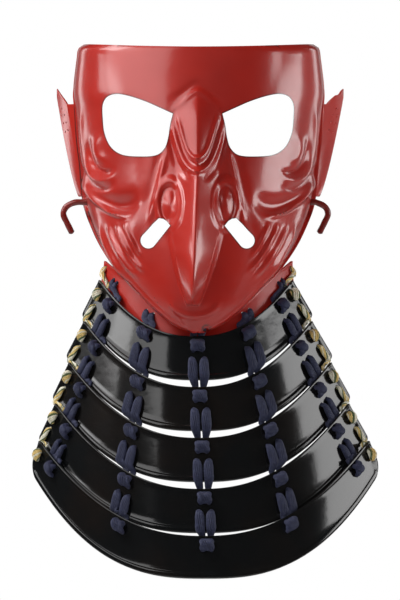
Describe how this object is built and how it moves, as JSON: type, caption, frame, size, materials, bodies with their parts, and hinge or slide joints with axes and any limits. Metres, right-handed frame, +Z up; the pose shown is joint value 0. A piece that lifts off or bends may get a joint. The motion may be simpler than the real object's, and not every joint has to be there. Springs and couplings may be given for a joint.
{
  "type": "samurai face guard",
  "caption": "Red-lacquered iron face mask with a crow's beak, open eyes and mouth corners, ear plates and cord hooks, over a laced black throat guard of curved lames",
  "frame": {"origin": "in the hollow of the mask behind the nose, level with the cord hooks and with the rear edge of the cheeks, where the wearer's face sits", "axes": "+Z up, the mask faces -Y, +X is to the right as a viewer in front of it sees it"},
  "size_m": [0.2298, 0.1558, 0.3489],
  "materials": {
    "red_lacquer": "gloss urushi lacquer over iron",
    "black_lacquer": "gloss urushi lacquer over iron",
    "navy_cord": "braided silk",
    "gold_cord": "braided silk of gold, cream and green strands"
  },
  "bodies": {
    "root": {"face_plate": "red_lacquer", "ear_plate_left": "red_lacquer", "ear_plate_right": "red_lacquer", "cord_hook_left": "red_lacquer", "cord_hook_right": "red_lacquer", "throat_plate": "red_lacquer", "lame_1": "black_lacquer", "lame_2": "black_lacquer", "lame_3": "black_lacquer", "lame_4": "black_lacquer", "lame_5": "black_lacquer", "lacing_far_left": "navy_cord", "lacing_mid_left": "navy_cord", "lacing_centre": "navy_cord", "lacing_mid_right": "navy_cord", "lacing_far_right": "navy_cord", "edge_lacing_left": "gold_cord", "edge_lacing_right": "gold_cord"}
  },
  "joints": []
}
